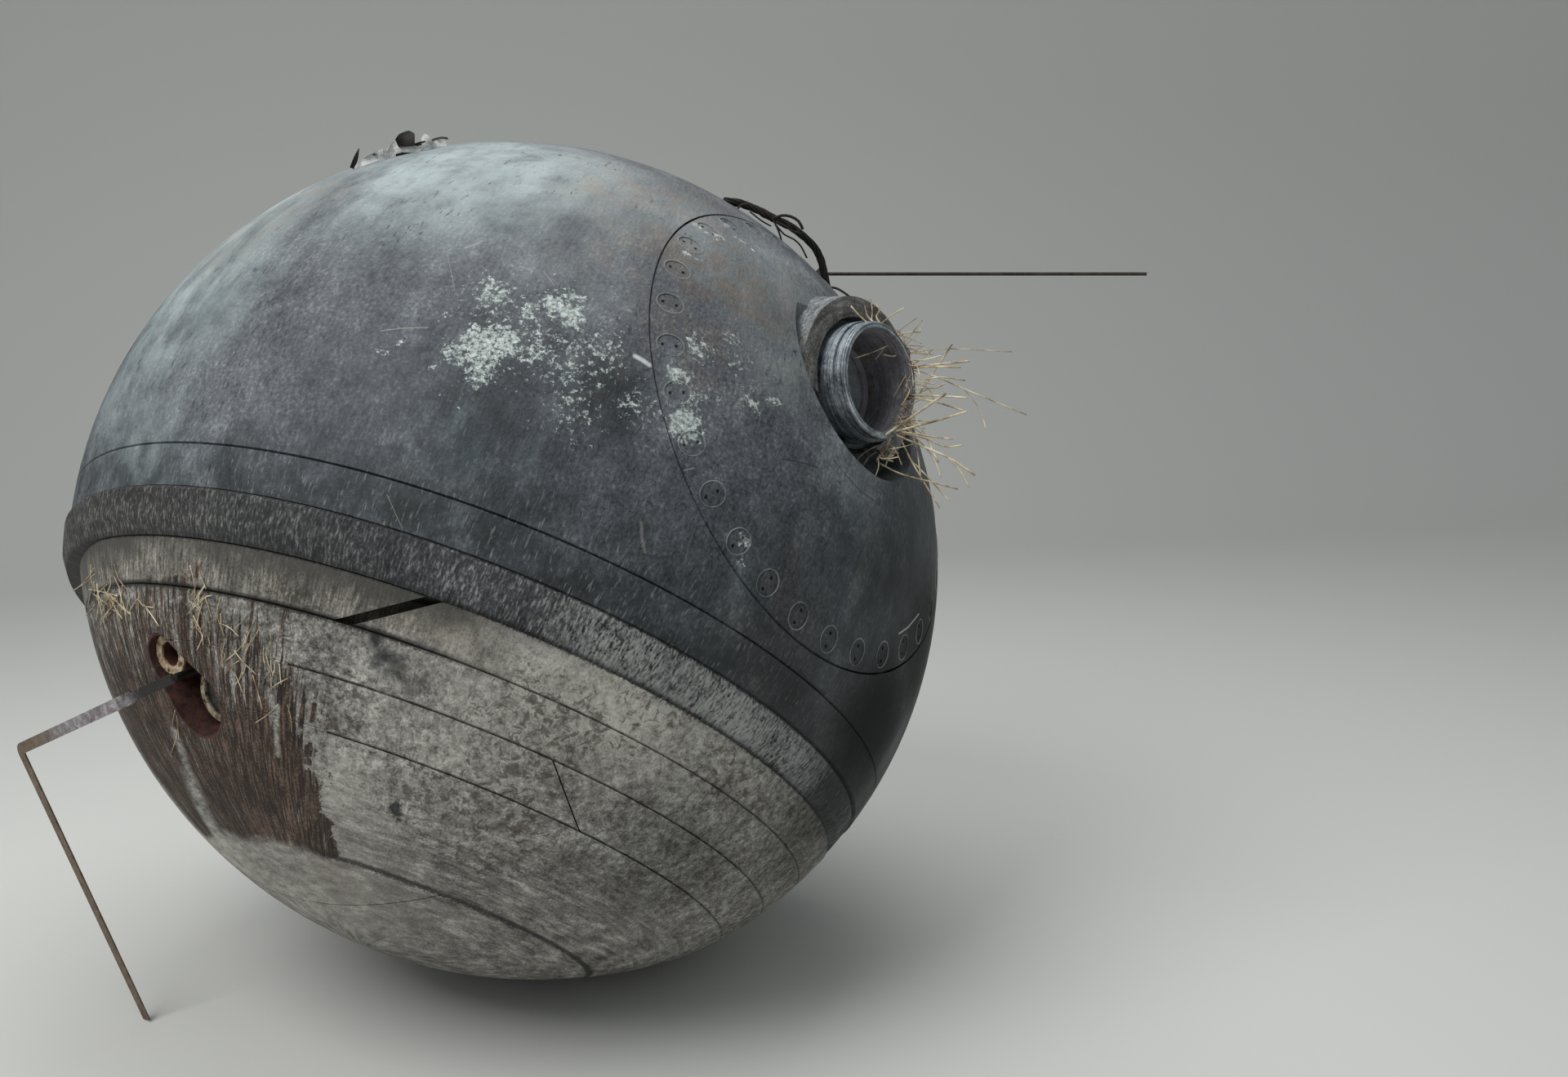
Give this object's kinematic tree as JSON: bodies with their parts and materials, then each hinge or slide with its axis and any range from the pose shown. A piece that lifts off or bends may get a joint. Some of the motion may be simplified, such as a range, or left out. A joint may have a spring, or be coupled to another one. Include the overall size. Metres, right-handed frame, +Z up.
{
  "type": "spherical re-entry space capsule",
  "caption": "Charred spherical crewed descent capsule after landing, with a stepped heat shield, bolted round hatches, a window port, an open parachute bay and antennas.",
  "frame": {"origin": "centre of the small flat under the worn shell that the capsule rests on", "axes": "+Z up, +X to the right as the front hatch is seen, along the rod antenna, +Y to the back"},
  "size_m": [3.0427, 2.3, 2.242],
  "materials": {
    "charred_shell": "matte",
    "charred_band": "matte",
    "charred_plug": "matte",
    "worn_ablator": "matte",
    "frame_alloy": "satin",
    "burnt_steel": "satin",
    "rusty_steel": "matte",
    "strip_steel": "satin",
    "port_glass": "gloss",
    "charred_cable": "matte",
    "torn_lining": "matte",
    "equipment": "satin"
  },
  "bodies": {
    "capsule": {"upper_shell": "charred_shell", "ring_ab": "charred_shell", "band_bc": "charred_band", "ring_cd_worn": "worn_ablator", "ring_cd_full": "worn_ablator", "ring_de": "worn_ablator", "ring_ef_left": "worn_ablator", "ring_ef_right": "worn_ablator", "ring_fg": "worn_ablator", "ring_gh_left": "worn_ablator", "ring_gh_right": "worn_ablator", "shield_cap": "worn_ablator", "front_hatch_frame": "frame_alloy", "crew_hatch_frame": "frame_alloy", "bay_floor": "frame_alloy", "bay_wall": "frame_alloy", "bay_ring": "frame_alloy", "riser_lug": "burnt_steel", "socket_liner": "rusty_steel", "socket_connector_upper": "burnt_steel", "socket_connector_lower": "burnt_steel", "strip_antenna": "strip_steel", "rod_base": "burnt_steel", "cable_bundle": "charred_cable", "torn_insulation": "torn_lining", "equipment_block": "equipment"},
    "front_hatch": {"front_hatch_lid": "charred_shell", "front_hatch_plugs": "charred_plug", "port_seat": "frame_alloy", "port_glass": "port_glass", "port_retainer": "burnt_steel", "port_flange": "burnt_steel", "port_clamp_ring": "burnt_steel", "port_barrel": "burnt_steel", "port_hood": "charred_shell"},
    "crew_hatch": {"crew_hatch_lid": "charred_shell", "crew_hatch_plugs": "charred_plug"},
    "rod": {"rod_antenna": "burnt_steel"}
  },
  "joints": [
    {"name": "front_hatch_lift", "type": "slide", "parent": "capsule", "child": "front_hatch", "axis": [0.7226, -0.5768, 0.3811], "range_m": [0, 0.35]},
    {"name": "crew_hatch_lift", "type": "slide", "parent": "capsule", "child": "crew_hatch", "axis": [-0.4682, 0.8746, 0.1257], "range_m": [0, 0.35]},
    {"name": "rod_hinge", "type": "hinge", "parent": "capsule", "child": "rod", "pos_m": [0.78077, 0.10397, 1.89188], "axis": [0.1617, 0.9423, -0.2932], "range_deg": [-48, 30]}
  ]
}
